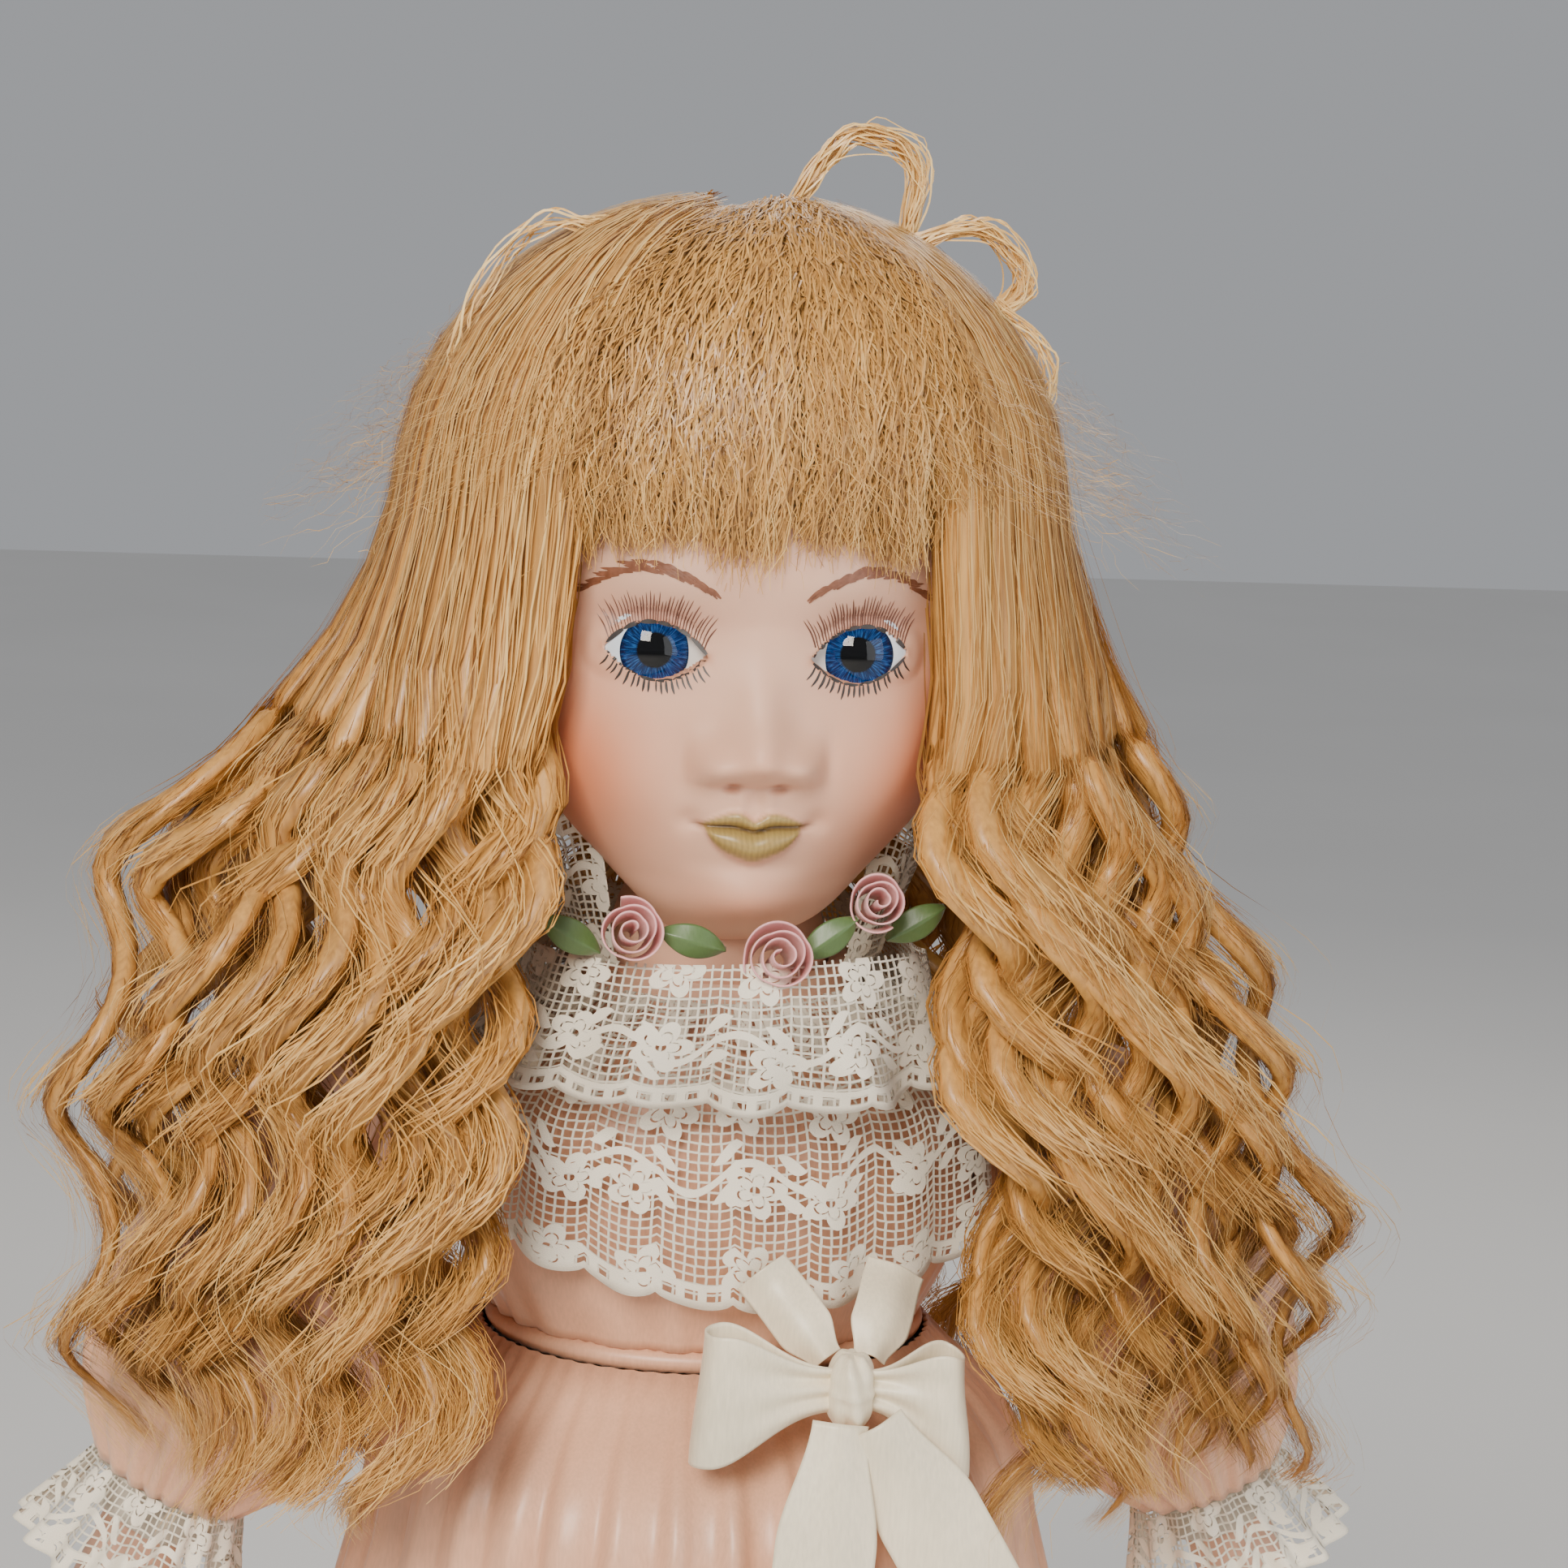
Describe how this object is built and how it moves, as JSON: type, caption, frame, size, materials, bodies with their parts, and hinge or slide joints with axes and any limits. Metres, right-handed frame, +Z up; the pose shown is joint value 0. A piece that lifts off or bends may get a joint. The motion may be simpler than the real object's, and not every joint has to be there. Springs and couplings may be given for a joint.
{
  "type": "porcelain doll",
  "caption": "Standing collectible doll with a painted bisque head, glass eyes, a long waved wig, lace collar, satin dress with ribbon bow, and a turning head, arms and legs.",
  "frame": {"origin": "on the floor, at the centre of the skirt's round hem", "axes": "+Z up, -Y the way the doll faces, +X to the doll's left"},
  "size_m": [0.208, 0.208, 0.4098],
  "materials": {
    "bisque": "matte",
    "muslin": "matte",
    "stuffing": "matte",
    "peach_satin": "satin",
    "white_cotton": "matte",
    "steel_snaps": "satin",
    "ivory_lace": "matte",
    "pink_ribbon": "satin",
    "green_ribbon": "satin",
    "cream_ribbon": "satin",
    "wig_hair": "satin",
    "turned_wood": "satin",
    "neck_steel": "satin",
    "pate_card": "matte",
    "eye_white_glass": "gloss",
    "eye_blue": "gloss",
    "eye_clear_glass": "gloss",
    "eye_plaster": "matte",
    "wig_net": "matte",
    "waxed_thread": "satin",
    "sock_knit": "matte",
    "shoe_leather": "satin",
    "sole_leather": "matte"
  },
  "bodies": {
    "torso": {"shoulder_plate": "bisque", "torso_cloth": "muslin", "torso_stuffing": "stuffing", "dress_bodice": "peach_satin", "waist_piping": "peach_satin", "dress_skirt": "peach_satin", "petticoat": "white_cotton", "pantaloon_seat": "white_cotton", "back_snaps": "steel_snaps", "collar_lower_lace": "ivory_lace", "collar_upper_ruffle": "ivory_lace", "ribbon_roses": "pink_ribbon", "rose_leaves": "green_ribbon", "bow_loops": "cream_ribbon", "bow_knot": "cream_ribbon", "bow_tails": "cream_ribbon", "curls_left": "wig_hair", "curls_right": "wig_hair", "curls_back": "wig_hair"},
    "neck": {"neck_button": "turned_wood", "neck_bolt": "neck_steel", "neck_washers": "neck_steel", "neck_spring": "neck_steel", "neck_wing_nut": "neck_steel"},
    "head": {"head_bisque": "bisque", "crown_pate": "pate_card", "eye_whites": "eye_white_glass", "eye_irises": "eye_blue", "eye_lenses": "eye_clear_glass", "eye_plaster": "eye_plaster", "wig_cap": "wig_net", "wig_crown": "wig_hair", "wig_bangs": "wig_hair", "wig_side_left": "wig_hair", "wig_side_right": "wig_hair", "wig_loops": "wig_hair"},
    "left_arm": {"left_upper_arm_cloth": "muslin", "left_bisque_arm": "bisque", "left_arm_binding": "waxed_thread", "left_sleeve": "peach_satin", "left_sleeve_lace": "ivory_lace"},
    "left_leg": {"left_thigh_cloth": "muslin", "left_bisque_leg": "bisque", "left_leg_binding": "waxed_thread", "left_pantaloon_leg": "white_cotton", "left_sock": "sock_knit", "left_shoe_upper": "shoe_leather", "left_shoe_sole": "sole_leather"},
    "right_arm": {"right_upper_arm_cloth": "muslin", "right_bisque_arm": "bisque", "right_arm_binding": "waxed_thread", "right_sleeve": "peach_satin", "right_sleeve_lace": "ivory_lace"},
    "right_leg": {"right_thigh_cloth": "muslin", "right_bisque_leg": "bisque", "right_leg_binding": "waxed_thread", "right_pantaloon_leg": "white_cotton", "right_sock": "sock_knit", "right_shoe_upper": "shoe_leather", "right_shoe_sole": "sole_leather"}
  },
  "joints": [
    {"name": "head_turn", "type": "hinge", "parent": "torso", "child": "neck", "pos_m": [0, 0.003, 0.303], "axis": [0, 0, 1], "range_deg": [-35, 35], "deforming": ["curls_left", "curls_right", "curls_back"]},
    {"name": "head_nod", "type": "hinge", "parent": "neck", "child": "head", "pos_m": [0, 0.003, 0.303], "axis": [1, 0, 0], "range_deg": [-6, 6], "deforming": ["curls_left", "curls_right", "curls_back"]},
    {"name": "left_arm_swing", "type": "hinge", "parent": "torso", "child": "left_arm", "pos_m": [0.05, 0.002, 0.276], "axis": [-1, 0, 0], "range_deg": [-25, 80], "deforming": ["curls_left", "curls_back"]},
    {"name": "right_arm_swing", "type": "hinge", "parent": "torso", "child": "right_arm", "pos_m": [-0.05, 0.002, 0.276], "axis": [-1, 0, 0], "range_deg": [-25, 80], "deforming": ["curls_right", "curls_back"]},
    {"name": "left_leg_swing", "type": "hinge", "parent": "torso", "child": "left_leg", "pos_m": [0.024, 0, 0.19], "axis": [-1, 0, 0], "range_deg": [-15, 15]},
    {"name": "right_leg_swing", "type": "hinge", "parent": "torso", "child": "right_leg", "pos_m": [-0.024, 0, 0.19], "axis": [-1, 0, 0], "range_deg": [-15, 15]}
  ]
}
